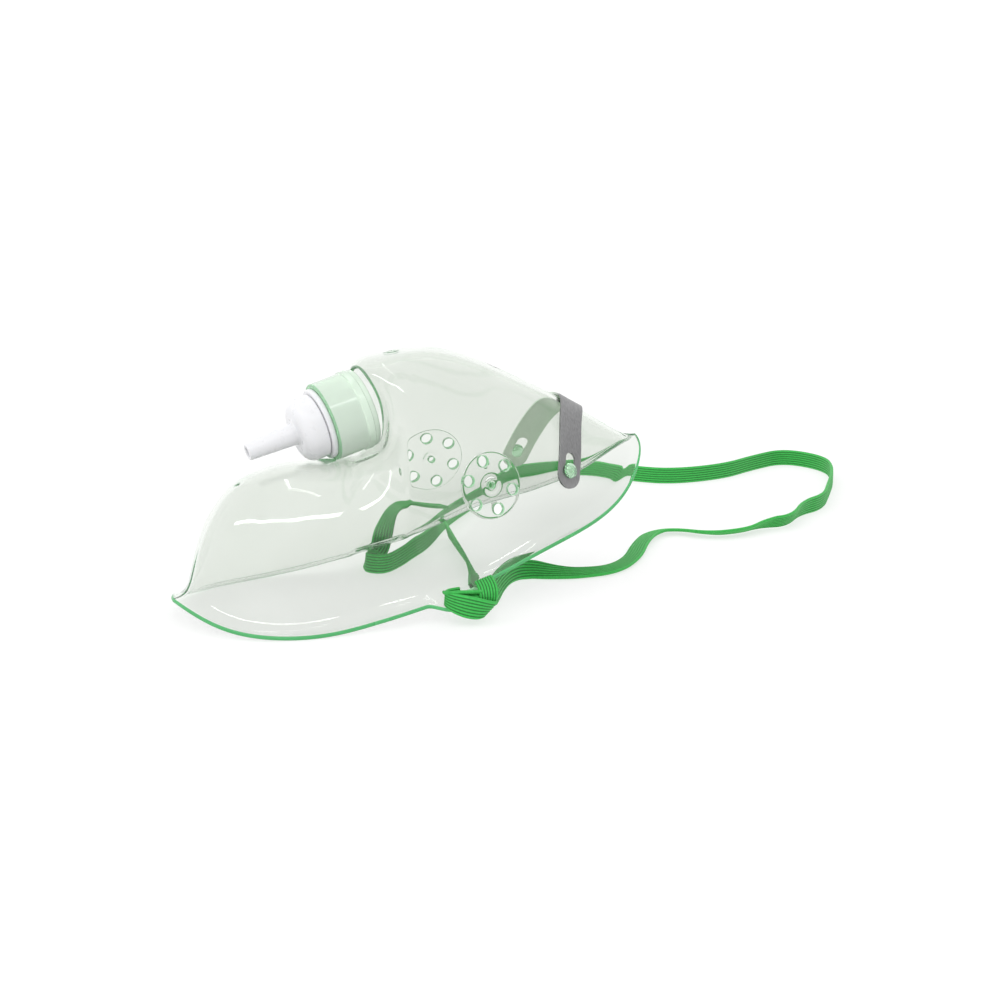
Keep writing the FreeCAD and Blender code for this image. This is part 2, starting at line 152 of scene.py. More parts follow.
def cut_or_add(obj, tool, operation):
    """Applies one boolean and removes the tool."""
    modifier = obj.modifiers.new(operation, "BOOLEAN")
    modifier.operation, modifier.object, modifier.solver = operation, tool, "EXACT"
    modifier.material_mode = "INDEX"
    graph = bpy.context.evaluated_depsgraph_get()
    made = bpy.data.meshes.new_from_object(obj.evaluated_get(graph), depsgraph=graph)
    obj.modifiers.clear()
    obj.data = made
    bpy.data.objects.remove(tool)
    return obj


# ---- materials -----------------------------------------------------------------------------------

NOISE_LOW, NOISE_HIGH = 0.3, 0.7
# Where the clear PVC's painted shade lies: it grows along X toward the nose and down toward the floor.
PAINTED_SHADE_X = (-0.005, 0.040)
PAINTED_SHADE_Z = (0.040, 0.022)
# Across this span of Y the clip goes from its dark -Y wing to its +Y wing, which is painted lighter and
# greener: painted light.
CLIP_LIT_WING_Y = (-0.004, 0.006)


def material(name, **values):
    """A Principled material; returns it, its nodes and its shader."""
    made = bpy.data.materials.new(name)
    made.use_nodes = True
    shader = made.node_tree.nodes["Principled BSDF"]
    for key, value in values.items():
        shader.inputs[key.replace("_", " ")].default_value = value
    return made, made.node_tree, shader


def node(tree, kind, **values):
    made = tree.nodes.new(kind)
    for key, value in values.items():
        if hasattr(made, key):
            setattr(made, key, value)
        else:
            made.inputs[key.replace("_", " ")].default_value = value
    return made


def set_range(made, from_low, from_high, to_low, to_high):
    """Sets what a Map Range node reads and what it gives."""
    made.inputs["From Min"].default_value, made.inputs["From Max"].default_value = from_low, from_high
    made.inputs["To Min"].default_value, made.inputs["To Max"].default_value = to_low, to_high


def object_place(tree):
    return tree.nodes.new("ShaderNodeTexCoord").outputs["Object"]


def noise_value(tree, scale, low, high, detail=3.0, stretch=(1, 1, 1), vector=None):
    """Noise over the object, from low to high."""
    mapping = node(tree, "ShaderNodeMapping")
    mapping.inputs["Scale"].default_value = stretch
    tree.links.new(vector or object_place(tree), mapping.inputs["Vector"])
    noise = node(tree, "ShaderNodeTexNoise", Scale=scale, Detail=detail)
    tree.links.new(mapping.outputs["Vector"], noise.inputs["Vector"])
    spread = node(tree, "ShaderNodeMapRange")
    set_range(spread, NOISE_LOW, NOISE_HIGH, low, high)
    tree.links.new(noise.outputs["Fac"], spread.inputs["Value"])
    return spread.outputs["Result"]


def blend_colours(tree, factor, first, second):
    mix = node(tree, "ShaderNodeMix", data_type="RGBA")
    for socket, value in (("A_Color", first), ("B_Color", second)):
        target = next(s for s in mix.inputs if s.identifier == socket)
        if isinstance(value, tuple):
            target.default_value = (*value, 1)
        else:
            tree.links.new(value, target)
    factor_in = next(s for s in mix.inputs if s.identifier == "Factor_Float")
    tree.links.new(factor, factor_in)
    return next(s for s in mix.outputs if s.identifier == "Result_Color")


def bump(tree, shader, height, strength, distance):
    made = node(tree, "ShaderNodeBump", Strength=strength, Distance=distance)
    tree.links.new(height, made.inputs["Height"])
    tree.links.new(made.outputs["Normal"], shader.inputs["Normal"])
    return made


def span_value(tree, value, start, end):
    """Rises smoothly from 0 at start to 1 at end."""
    made = node(tree, "ShaderNodeMapRange", interpolation_type="SMOOTHSTEP")
    low, high = (0, 1) if end > start else (1, 0)
    set_range(made, min(start, end), max(start, end), low, high)
    tree.links.new(value, made.inputs["Value"])
    return made.outputs["Result"]


def soft_pvc(name, tint, deeper, absorb_colour, density, rough=(0.012, 0.03), clear=1.0, painted_shade=None):
    """Clear soft PVC: faintly wavy and smeared, coloured by its thickness. The last colour is a painted
    shade:
    a darker tint laid on the wall low down toward the nose, for the shade on the floor seen through it."""
    made, tree, shader = material(name, Transmission_Weight=clear, IOR=1.47, Base_Color=(*tint, 1))
    cloud = noise_value(tree, 55, 0, 1)
    colour = blend_colours(tree, cloud, tint, deeper)
    # Painted shade: the wall's colour darkens low down toward the nose.
    if painted_shade:
        place = node(tree, "ShaderNodeSeparateXYZ")
        tree.links.new(object_place(tree), place.inputs["Vector"])
        both = node(tree, "ShaderNodeMath", operation="MULTIPLY")
        tree.links.new(span_value(tree, place.outputs["X"], *PAINTED_SHADE_X), both.inputs[0])
        tree.links.new(span_value(tree, place.outputs["Z"], *PAINTED_SHADE_Z), both.inputs[1])
        colour = blend_colours(tree, both.outputs["Value"], colour, painted_shade)
    tree.links.new(colour, shader.inputs["Base Color"])
    tree.links.new(noise_value(tree, 90, *rough), shader.inputs["Roughness"])
    bump(tree, shader, noise_value(tree, 60, 0, 1, detail=1.0), 0.12, 0.0004)
    inside = node(tree, "ShaderNodeVolumeAbsorption", Density=density)
    inside.inputs["Color"].default_value = (*absorb_colour, 1)
    tree.links.new(inside.outputs["Volume"], tree.nodes["Material Output"].inputs["Volume"])
    return made


PALE_GREEN, FRESH_GREEN = (0.60, 0.90, 0.66), (0.50, 0.92, 0.50)
# The clear shell's last colour is painted shade, darker low on the wall toward the nose.
CLEAR_PVC = soft_pvc("clear_pvc", (0.868, 0.886, 0.856), (0.850, 0.872, 0.838), PALE_GREEN, 16,
                     painted_shade=(0.700, 0.725, 0.690))
RIM_PVC = soft_pvc("rim_pvc", (0.10, 0.53, 0.18), (0.08, 0.47, 0.15), PALE_GREEN, 12, (0.2, 0.3), 0.25)
CUT_PVC = soft_pvc("cut_pvc", (0.52, 0.87, 0.57), (0.47, 0.85, 0.52), PALE_GREEN, 12, (0.15, 0.25), 0.5)
GREEN_PVC = soft_pvc("green_pvc", (0.90, 1.0, 0.905), (0.885, 0.995, 0.89), FRESH_GREEN, 90,
                     (0.08, 0.16), 0.42)
STUD_PVC = soft_pvc("stud_pvc", (0.75, 0.97, 0.80), (0.70, 0.95, 0.76), FRESH_GREEN, 160, (0.05, 0.1), 0.8)


def white_plastic():
    """Smooth moulded plastic, a little translucent."""
    made, tree, shader = material("white_plastic", IOR=1.49, Subsurface_Weight=0.08, Subsurface_Scale=0.004)
    shader.inputs["Subsurface Radius"].default_value = (1.0, 0.9, 0.8)
    cloud = noise_value(tree, 120, 0, 1)
    tree.links.new(blend_colours(tree, cloud, (0.765, 0.768, 0.785), (0.785, 0.788, 0.805)),
                   shader.inputs["Base Color"])
    tree.links.new(noise_value(tree, 400, 0.26, 0.32), shader.inputs["Roughness"])
    bump(tree, shader, noise_value(tree, 300, 0, 1, detail=0.0), 0.02, 0.0001)
    return made


def brushed_aluminium():
    """Brushed along the clip, with painted light: the -Y wing dull and dark as in shade, the +Y one painted
    lighter and greener as if lit.
    """
    made, tree, shader = material("clip_aluminium", Metallic=1.0)
    grain = noise_value(tree, 900, 0, 1, stretch=(6, 0.25, 1))
    place = node(tree, "ShaderNodeSeparateXYZ")
    tree.links.new(object_place(tree), place.inputs["Vector"])
    # Painted light: the -Y wing is the shaded copy and the +Y wing the lit copy of the same metal.
    shaded_wing = blend_colours(tree, grain, (0.24, 0.24, 0.243), (0.35, 0.35, 0.354))
    bright = blend_colours(tree, grain, (0.66, 0.78, 0.65), (0.78, 0.90, 0.77))
    share = span_value(tree, place.outputs["Y"], *CLIP_LIT_WING_Y)
    tree.links.new(blend_colours(tree, share, shaded_wing, bright), shader.inputs["Base Color"])
    tree.links.new(noise_value(tree, 700, 0.32, 0.46, stretch=(6, 0.25, 1)), shader.inputs["Roughness"])
    bump(tree, shader, grain, 0.15, 0.0001)
    return made


def green_elastic():
    """Braided elastic: green cords crossed by fine thread, with painted shade darkening the grooves between
    them.
    """
    made, tree, shader = material("green_elastic", Roughness=0.75, Sheen_Weight=0.1, Sheen_Roughness=0.5)
    groove = node(tree, "ShaderNodeAttribute", attribute_name="groove").outputs["Fac"]
    along = node(tree, "ShaderNodeAttribute", attribute_name="along").outputs["Fac"]
    across = node(tree, "ShaderNodeAttribute", attribute_name="across").outputs["Fac"]
    place = node(tree, "ShaderNodeCombineXYZ")
    tree.links.new(along, place.inputs["X"])
    tree.links.new(across, place.inputs["Y"])
    fleck = noise_value(tree, 1500, 0, 1, vector=place.outputs["Vector"])
    drift = noise_value(tree, 45, 0, 1, vector=place.outputs["Vector"])
    cord = blend_colours(tree, fleck, (0.034, 0.470, 0.065), (0.060, 0.610, 0.105))
    cord = blend_colours(tree, drift, cord, (0.040, 0.520, 0.078))
    # Painted shade: the grooves between the cords, and a little the strap's edges, are painted near-black
    # green.
    tree.links.new(blend_colours(tree, groove, cord, (0.003, 0.070, 0.009)), shader.inputs["Base Color"])
    threads = node(tree, "ShaderNodeTexWave", Scale=420, Distortion=1.5, Detail=2.0)
    tree.links.new(place.outputs["Vector"], threads.inputs["Vector"])
    tree.links.new(noise_value(tree, 800, 0.65, 0.85, vector=place.outputs["Vector"]),
                   shader.inputs["Roughness"])
    bump(tree, shader, threads.outputs["Fac"], 0.35, 0.0001)
    return made


WHITE_PLASTIC = white_plastic()
CLIP_METAL = brushed_aluminium()
ELASTIC = green_elastic()

# ---- elastic strap -------------------------------------------------------------------------------

STRAP_WIDTH = 6.5
STRAP_THICK = 1.2
STRAP_RIBS = 7
RIB_STEPS = 4
STRAP_STEP = 0.85
FLOOR_GAP = 0.08

# Control points of the strap's line (x, y, z), and which way its width points there: an angle from
# upright, over the run's right-hand side, or a direction. The first ones leave the knot; the last ones
# pass up through the far lug's slot to the far cut end.
LOOP_ROUTE = [
    ((8.5, -36.0, 6.8), -22), ((13.0, -29.0, 6.0), -20), ((20.0, -18.0, 5.2), -14), ((29.0, -6.6, 4.4), -8),
    ((36.5, -1.2, 3.2), -28), ((43.5, -5.2, 2.0), -58), ((52.0, -8.0, 1.5), -76), ((65.0, -8.5, 1.3), -84),
    ((79.0, 2.9, 0.9), -97), ((90.3, 17.1, 1.8), -104), ((102.4, 29.7, 1.4), -103),
    ((112.5, 30.7, 1.4), -101), ((119.7, 17.6, 1.8), -109), ((132.5, 16.1, 1.9), -114),
    ((142.8, 20.1, 2.7), -130), ((152.9, 17.8, 3.0), -146), ((168.0, 32.0, 3.4), -164),
    ((182.0, 37.0, 3.4), -174), ((197.0, 54.0, 3.4), -180), ((216.0, 76.0, 3.4), -180),
    ((228.0, 97.0, 3.4), -180), ((222.0, 119.0, 3.4), -180), ((201.0, 112.0, 3.4), -180),
    ((180.0, 102.0, 3.4), -180), ((155.0, 102.0, 3.4), -180), ((143.0, 115.0, 3.4), -180),
    ((136.0, 133.0, 3.4), -180), ((117.0, 142.0, 3.4), -180), ((99.0, 137.0, 3.4), -180),
    ((82.0, 118.5, 3.4), -180), ((63.0, 96.0, 3.4), -180), ((41.5, 73.5, 3.4), -180),
    ((24.5, 48.5, 3.4), -180), ((13.0, 35.8, 3.4), -180), ((4.5, 27.6, 3.4), -182),
    ((-2.4, 21.8, 3.5), -188), ((-7.2, 26.0, 3.5), (0.1, -0.1, -1)), ((-5.0, 31.6, 3.2), (-0.35, 0.1, -0.93)),
    ((-1.2, 34.6, 3.3), (-0.85, 0.2, -0.5)), ((1.2, 35.0, 6.2), (-0.98, 0.12, -0.2)),
    ((1.7, 34.8, 9.6), (-0.93, 0.36, 0)), ((3.6, 36.4, 13.2), (-0.55, 0.83, 0)),
    ((6.8, 37.8, 18.0), (-0.25, 0.97, 0)), ((13.4, 39.6, 19.6), (-0.1, 0.99, 0)),
    ((20.0, 41.0, 17.0), (0.15, 0.98, -0.1)), ((27.0, 42.0, 15.8), (0.42, 0.9, -0.12)),
]
NEAR_TAIL_ROUTE = [
    ((6.5, -28.0, 5.4), -32), ((11.5, -17.5, 3.9), -31), ((19.5, 1.5, 3.0), -30), ((25.5, 21.0, 3.0), -26),
    ((30.5, 40.0, 3.0), -22), ((35.5, 57.5, 3.2), -16),
]
UPRIGHT = np.array((0.0, 0.0, 1.0))


def spline_points(controls):
    """Points read off a NURBS spline with those control points, in millimetres."""
    data = bpy.data.curves.new("route", "CURVE")
    data.dimensions = "3D"
    spline = data.splines.new("NURBS")
    spline.points.add(len(controls) - 1)
    for target, place in zip(spline.points, controls):
        target.co = (*(c * MM for c in place), 1)
    spline.order_u = 3
    spline.use_endpoint_u = True
    spline.resolution_u = 24
    obj = bpy.data.objects.new("route", data)
    scene.collection.objects.link(obj)
    bpy.context.view_layer.update()
    mesh = bpy.data.meshes.new_from_object(obj)
    found = np.array([v.co for v in mesh.vertices]) / MM
    bpy.data.objects.remove(obj)
    bpy.data.meshes.remove(mesh)
    return found


def width_ways(route):
    """The direction of the strap's width at each control point."""
    places = np.array([place for place, way in route], float)
    ways = []
    for i, (place, way) in enumerate(route):
        if isinstance(way, tuple):
            ways.append(unit(way))
            continue
        run = places[min(i + 1, len(places) - 1)] - places[max(i - 1, 0)]
        run[2] = 0
        right = np.cross(unit(run), UPRIGHT)
        angle = math.radians(way)
        ways.append(math.cos(angle) * UPRIGHT + math.sin(angle) * right)
    return ways


def even_steps(points, step):
    """Where to read a polyline so that its points are evenly spaced: positions along it."""
    lengths = np.concatenate([[0], np.cumsum(np.linalg.norm(np.diff(points, axis=0), axis=1))])
    return lengths, np.linspace(0, lengths[-1], max(2, round(lengths[-1] / step) + 1))


def read_at(lengths, values, places):
    return np.stack([np.interp(places, lengths, values[:, k]) for k in range(values.shape[1])], axis=1)


def strap_outline():
    """The strap's cross-section: (width, thickness, groove) round it, ribs on both faces."""
    count = STRAP_RIBS * RIB_STEPS
    shares = np.arange(count + 1) / count
    wave = np.abs(np.sin(math.pi * shares * STRAP_RIBS))
    edge = np.minimum(1, np.minimum(shares, 1 - shares) * STRAP_RIBS * 1.6)
    half = STRAP_THICK / 2 * (0.62 + 0.38 * wave ** 0.8) * (0.45 + 0.55 * edge)
    width = (shares - 0.5) * STRAP_WIDTH
    # groove is how deep in a groove each point lies, a quarter at the two edges; the elastic paints shade by
    # it.
    groove = 1 - wave
    groove[[0, -1]] = 0.25
    front = list(zip(width, half, groove))
    back = [(w, -h, g) for w, h, g in reversed(front)]
    return np.array(front + back)


def ribbon(name, points, ways, squeeze=None, on_floor=True):
    """A ribbed band along points, its width along the given directions."""
    ahead = unit(np.gradient(points, axis=0))
    ways = unit(ways - ahead * np.sum(ways * ahead, axis=1, keepdims=True))
    thin = np.cross(ahead, ways)
    outline = strap_outline()
    squeeze = np.ones(len(points)) if squeeze is None else squeeze
    if on_floor:
        rest = (np.abs(ways[:, 2]) * STRAP_WIDTH * squeeze + np.abs(thin[:, 2]) * STRAP_THICK) / 2 + FLOOR_GAP
        points = points.copy()
        points[:, 2] = np.maximum(points[:, 2], rest)
    rings = (points[:, None, :] + ways[:, None, :] * outline[None, :, :1] * squeeze[:, None, None]
             + thin[:, None, :] * outline[None, :, 1:2])
    rows, columns = rings.shape[:2]
    faces = ring_faces(rows, columns)
    faces += [tuple(range(columns)), tuple((rows - 1) * columns + j for j in reversed(range(columns)))]
    obj = mesh_object(name, rings.reshape(-1, 3), faces)
    steps = np.concatenate([[0], np.cumsum(np.linalg.norm(np.diff(points, axis=0), axis=1))]) * MM
    values = {"along": np.repeat(steps, columns), "across": np.tile(outline[:, 0] * MM, rows),
              "groove": np.tile(outline[:, 2], rows)}
    for key, value in values.items():
        obj.data.attributes.new(key, "FLOAT", "POINT").data.foreach_set("value", value.astype(np.float32))
    obj.data.materials.append(ELASTIC)
    return obj


def strap(name, route):
    """A length of strap; returns it, the line that it follows and its length in millimetres."""
    line = spline_points([place for place, way in route])
    way_line = spline_points(width_ways(route))
    lengths, places = even_steps(line, STRAP_STEP)
    points = read_at(lengths, line, places)
    return ribbon(name, points, read_at(lengths, way_line, places)), points, lengths[-1]


def make_straps(knot):
    for name, route, nodes, pieces in (
        ("strap", LOOP_ROUTE, ("strap_loop", "strap_tail_far"), [knot]),
        ("strap_end", NEAR_TAIL_ROUTE, ("strap_tail_near",), []),
    ):
        obj, line, length = strap(name, route)
        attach(obj, "mask")
        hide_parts(*nodes)
        print(name, "length", round(length, 1))


# The knot's strands, from the knot's centre, to the right, to the front and up: control points, the way
# the width points there, and its share of the full width.
KNOT_AT = np.array((0.8, -38.0, 6.4))
KNOT_RIGHT = unit((0.90, -0.435, 0))
KNOT_FRONT = unit((-0.435, -0.90, 0))
KNOT_STRANDS = {
    "wrap": [((-3.6, -3.4, 1.6), (0.0, 0.3, 1.0), 0.55), ((-6.9, -2.0, 1.3), (0.0, 0.1, 1.0), 0.6),
             ((-7.6, 1.2, 1.0), (0.1, 0.0, 1.0), 0.7), ((-5.2, 4.0, 0.5), (0.25, 0.0, 1.0), 0.88),
             ((-1.0, 5.0, -0.5), (0.37, 0.0, 0.93), 1.05), ((3.2, 4.4, -1.4), (0.5, 0.05, 0.86), 1.02),
             ((5.7, 2.0, -1.9), (0.66, 0.1, 0.75), 0.92), ((5.0, -1.8, -2.1), (0.7, 0.1, 0.7), 0.75),
             ((2.0, -3.6, -1.8), (0.7, 0.1, 0.7), 0.6)],
    "bight": [((3.4, -3.4, 5.6), (0.95, -0.2, 0.3), 0.85), ((4.4, -0.6, 5.0), (0.95, -0.25, 0.3), 0.88),
              ((5.0, 1.6, 3.2), (0.95, -0.3, 0.2), 0.9), ((5.0, 2.0, 0.8), (0.95, -0.3, 0.1), 0.85),
              ((4.2, 1.2, -1.6), (0.95, -0.3, 0.1), 0.7)],
    "under": [((-6.6, -1.0, 1.4), (0.1, 0.8, 0.6), 0.7), ((-5.6, 1.2, 2.6), (0.1, 0.9, 0.4), 0.8),
              ((-2.6, 1.8, 3.0), (0.0, 0.95, 0.3), 0.8), ((0.6, 1.2, 2.9), (0.0, 0.95, 0.3), 0.8),
              ((3.4, -1.2, 2.2), (0.0, 0.9, 0.4), 0.7), ((7.2, -2.4, 1.0), (0.0, 0.4, 0.9), 0.8)],
}


def knot_place(p):
    p = np.asarray(p, float)
    return KNOT_AT + p[..., :1] * KNOT_RIGHT + p[..., 1:2] * KNOT_FRONT + p[..., 2:] * UPRIGHT


def make_knot():
    pieces = []
    for name, controls in KNOT_STRANDS.items():
        line = spline_points(knot_place([place for place, way, share in controls]))
        way_line = spline_points(knot_place([way for place, way, share in controls]) - KNOT_AT)
        share_line = spline_points([(share, 0, 0) for place, way, share in controls])
        lengths, places = even_steps(line, STRAP_STEP / 2)
        points, ways, shares = (read_at(lengths, values, places) for values in (line, way_line, share_line))
        pieces.append(ribbon("knot_" + name, points, ways, shares[:, 0], on_floor=False))
    core = bpy.data.meshes.new("core")
    mesh = bmesh.new()
    bmesh.ops.create_icosphere(mesh, subdivisions=4, radius=1)
    for v in mesh.verts:
        v.co = Vector(knot_place(np.array((v.co.x * 5.4, v.co.y * 3.6, v.co.z * 3.0))) * MM)
    mesh.to_mesh(core)
    mesh.free()
    core_object = bpy.data.objects.new("knot_core", core)
    scene.collection.objects.link(core_object)
    core.materials.append(ELASTIC)
    core.polygons.foreach_set("use_smooth", [True] * len(core.polygons))
    knot = join("knot", pieces + [core_object])
    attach(knot, "mask")
    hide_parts("strap_knot")
    return knot


make_straps(make_knot())

# ---- soft shell ----------------------------------------------------------------------------------

# Control points of the +Y half of the shell's outer surface, one row for each section from the chin's
# tip to the nose's: rim (x, y, z), shoulder (x, y, z) and crest (x, z).
SECTIONS = [
    ((-77.1, 0, 7.0), (-64.0, 0, 32.1), (-57.0, 39.2)),
    ((-76.6, 4.5, 6.8), (-64.0, 4.5, 32.1), (-57.0, 39.2)),
    ((-73.1, 15.3, 4.5), (-61.0, 11.0, 33.1), (-55.5, 39.8)),
    ((-66.0, 25.7, 2.1), (-55.5, 15.5, 34.6), (-52.0, 41.2)),
    ((-55.0, 32.8, 1.2), (-48.5, 17.5, 36.1), (-46.5, 42.8)),
    ((-41.5, 35.2, 1.2), (-39.5, 18.0, 38.4), (-38.0, 44.3)),
    ((-29.0, 34.2, 2.6), (-28.0, 17.8, 39.4), (-28.5, 43.4)),
    ((-20.5, 33.9, 3.9), (-17.5, 17.5, 41.1), (-15.5, 45.6)),
    ((-15.5, 33.7, 4.8), (-13.0, 17.3, 50.6), (-13.7, 48.1)),
    ((-10.5, 33.3, 5.6), (-13.5, 17.0, 63.6), (-20.8, 68.1)),
    ((-4.5, 32.6, 6.6), (-10.5, 15.6, 71.1), (-19.0, 73.5)),
    ((3.5, 31.6, 8.4), (-2.5, 14.6, 72.1), (-6.5, 75.9)),
    ((11.5, 30.6, 11.0), (6.5, 14.0, 71.1), (6.0, 76.8)),
    ((20.5, 30.2, 14.4), (17.5, 13.2, 66.6), (17.5, 73.1)),
    ((32.5, 29.8, 18.8), (30.5, 11.2, 60.4), (32.5, 66.0)),
    ((44.5, 26.6, 21.7), (43.5, 9.4, 54.8), (44.5, 60.2)),
    ((56.5, 21.6, 25.2), (56.0, 8.0, 49.2), (56.5, 53.6)),
    ((68.5, 15.0, 32.0), (67.0, 5.8, 44.4), (67.5, 46.7)),
    ((76.7, 6.0, 42.1), (73.0, 2.6, 43.7), (72.0, 44.5)),
    ((77.1, 0, 43.8), (73.3, 0, 44.2), (72.0, 44.5)),
]
PORT_AT = np.array((-30.2, 0, 55.4))
PORT_TILT = math.radians(16.6)
PORT_OUT = np.array((-math.cos(PORT_TILT), 0, -math.sin(PORT_TILT)))
SHOULDER_RADIUS, SHOULDER_SPREAD, SHOULDER_SWELL = 15.6, 1.9, 0.5
SHOULDER_BACK, SHOULDER_FADE = 26.0, 5.0
SHELL_WALL = 1.2
FLANGE_WIDTH = 3.6
FLANK_BULGE = 0.055
SHELL_ALONG = 230
SHELL_UP = 80
RIM_STEPS = 8
LUG_AT = np.array((-1.2, 32.1, 6.9))
LUG_ALONG = unit((0.965, -0.110, 0.237))
LUG_OUT = unit(np.cross(UPRIGHT, LUG_ALONG))
LUG_UP = np.cross(LUG_ALONG, LUG_OUT)
LUG_LENGTH, LUG_REACH, LUG_THICK, LUG_RAMP, LUG_COLUMNS, LUG_DROOP = 15.0, 5.4, 1.2, 6.0, 7, 0.12
SLOT_LENGTH, SLOT_WIDTH, SLOT_SHIFT, SLOT_OUT = 8.4, 2.6, 2.5, 2.6


def shell_net():
    rows = []
    last = len(SECTIONS) - 1
    for number, (rim, shoulder, crest) in enumerate(SECTIONS):
        rim, shoulder = np.array(rim, float), np.array(shoulder, float)
        crest = np.array((crest[0], 0, crest[1]), float)
        if number in (0, last):
            along = np.array((0, 1 if number == 0 else -1, 0))
        else:
            along = np.subtract(SECTIONS[number + 1][0], SECTIONS[number - 1][0])
            along[2] = 0
            along = unit(along)
        inward = np.array((along[1], -along[0], 0))
        rise = shoulder[2] - rim[2]
        lift = min(1.0, rise / 30)
        root = rim + inward * FLANGE_WIDTH * (0.45 + 0.55 * lift) + (0, 0, 0.5 * lift)
        reach = shoulder - root
        low = root + inward * lift + reach * (0.12, 0.12, 0.17)
        middle = root + reach * 0.6 - inward * (rise * FLANK_BULGE)
        beside = crest + (0, 0.55 * shoulder[1], 0)
        rows.append([rim, root, low, middle, shoulder, beside, crest])
    return np.array(rows)


def basis(count, places):
    """Cubic B-spline weights on a clamped knot row, and their slopes."""
    spans = count - 3
    knots = np.concatenate([[0] * 3, np.linspace(0, 1, spans + 1), [1] * 3])
    places = np.clip(np.asarray(places, float), 0, 1 - 1e-9)
    weights = np.array([(places >= knots[i]) & (places < knots[i + 1]) for i in range(len(knots) - 1)], float)
    slopes = None
    for degree in (1, 2, 3):
        before, weights = weights, []
        slopes = []
        for i in range(len(knots) - 1 - degree):
            left, right = knots[i + degree] - knots[i], knots[i + degree + 1] - knots[i + 1]
            a = before[i] / left if left else 0 * places
            b = before[i + 1] / right if right else 0 * places
            weights.append((places - knots[i]) * a + (knots[i + degree + 1] - places) * b)
            slopes.append(degree * (a - b))
    return np.array(weights).T, np.array(slopes).T


NET = shell_net()


def surface(across, up):
    """Points and outward normals of the +Y half, on a grid of places."""
    (a, da), (u, du) = basis(len(NET), across), basis(NET.shape[1], up)
    points = np.einsum("ia,abk,jb->ijk", a, NET, u)
    normals = np.cross(np.einsum("ia,abk,jb->ijk", a, NET, du), np.einsum("ia,abk,jb->ijk", da, NET, u))
    for edge in (normals[0], normals[-1], normals[:, -1]):
        edge[:, 1] = 0
    return points, unit(normals)


def single(across, up):
    """One point of the surface and its normal, inside the half."""
    (a, da), (u, du) = basis(len(NET), [across]), basis(NET.shape[1], [up])
    point = np.einsum("ia,abk,jb->ijk", a, NET, u)[0, 0]
    normal = np.cross(np.einsum("ia,abk,jb->ijk", a, NET, du)[0, 0],
                      np.einsum("ia,abk,jb->ijk", da, NET, u)[0, 0])
    return point, unit(normal)


def nearest(target):
    """Where on the half the nearest point to target is."""
    low, high = np.array((0.0, 0.0)), np.array((1.0, 1.0))
    for _ in range(6):
        across, up = np.linspace(low[0], high[0], 41), np.linspace(low[1], high[1], 41)
        (a, _s), (u, _t) = basis(len(NET), across), basis(NET.shape[1], up)
        gap = np.linalg.norm(np.einsum("ia,abk,jb->ijk", a, NET, u) - target, axis=-1)
        i, j = np.unravel_index(np.argmin(gap), gap.shape)
        best, reach = np.array((across[i], up[j])), (high - low) / 12
        low, high = np.maximum(best - reach, 0), np.minimum(best + reach, 1)
    return best


def flip(points):
    return points * (1, -1, 1)


def rim_sections(outer, inner, out):
    """Rounds the wall's edge from its outer face to its inner one."""
    middle, half = (outer + inner) / 2, (outer - inner) / 2
    reach = SHELL_WALL / 2
    rows = []
    for angle in np.linspace(0, math.pi, RIM_STEPS + 1)[1:-1]:
        rows.append(middle + half * math.cos(angle) + out * (reach * math.sin(angle)))
    return rows


def lug_widening(rim):
    """How far the flange reaches out further, at each point of the rim, to make the strap lug."""
    along = np.abs((rim - LUG_AT) @ LUG_ALONG)
    t = np.clip((LUG_LENGTH / 2 + LUG_RAMP / 2 - along) / LUG_RAMP, 0, 1)
    return LUG_REACH * t * t * (3 - 2 * t)


def lug_share():
    """The share of that reach at each column: all of it on the rim, none of it from the flange's root."""
    return np.clip(1 - np.arange(SHELL_UP + 1) / LUG_COLUMNS, 0, 1)


def port_shoulder(points):
    """How far the wall swells into the rounded shoulder that rings the port."""
    reach = points - PORT_AT
    height = reach @ PORT_OUT
    radius = np.linalg.norm(reach - height[..., None] * PORT_OUT, axis=-1)
    near = np.clip((height + SHOULDER_BACK) / SHOULDER_FADE, 0, 1) * np.clip(-height / SHOULDER_FADE, 0, 1)
    return SHOULDER_SWELL * near * np.exp(-((radius - SHOULDER_RADIUS) / SHOULDER_SPREAD) ** 2)


def shell_blank():
    """The closed wall, before its holes: outer face, rounded rim and inner face, both halves."""
    across, up = np.linspace(0, 1, SHELL_ALONG + 1), np.linspace(0, 1, SHELL_UP + 1)
    outer, normals = surface(across, up)
    inner = outer - normals * SHELL_WALL
    out = outer[:, 0] - outer[:, 1]
    out = unit(out - normals[:, 0] * np.sum(out * normals[:, 0], axis=1, keepdims=True))
    swell = normals * port_shoulder(outer)[..., None]
    outer, inner = outer + swell, inner + swell
    wider = lug_widening(outer[:, 0])[:, None, None] * lug_share()[None, :, None]
    shift = out[:, None, :] * wider - (0, 0, LUG_DROOP) * wider * lug_share()[None, :, None]
    outer, inner = outer + shift, inner + shift
    rim = rim_sections(outer[:, 0], inner[:, 0], out)
    columns = [outer[:, j] for j in reversed(range(SHELL_UP + 1))] + rim
    columns += [inner[:, j] for j in range(SHELL_UP + 1)]
    grid = np.stack(columns, axis=1)
    rows, count = grid.shape[:2]
    faces = ring_faces(rows, count, closed_columns=False)
    both = np.concatenate([grid.reshape(-1, 3), flip(grid.reshape(-1, 3))])
    offset = rows * count
    faces = faces + [tuple(offset + k for k in reversed(f)) for f in faces]
    obj = mesh_object("shell", both, faces)
    for made in (CLEAR_PVC, RIM_PVC, CUT_PVC):
        obj.data.materials.append(made)
    rim_columns = set(range(SHELL_UP, SHELL_UP + RIM_STEPS))
    per_row = count - 1
    index = [1 if (k % per_row) in rim_columns else 0 for k in range(2 * (rows - 1) * per_row)]
    obj.data.polygons.foreach_set("material_index", index)
    return tidy(obj)


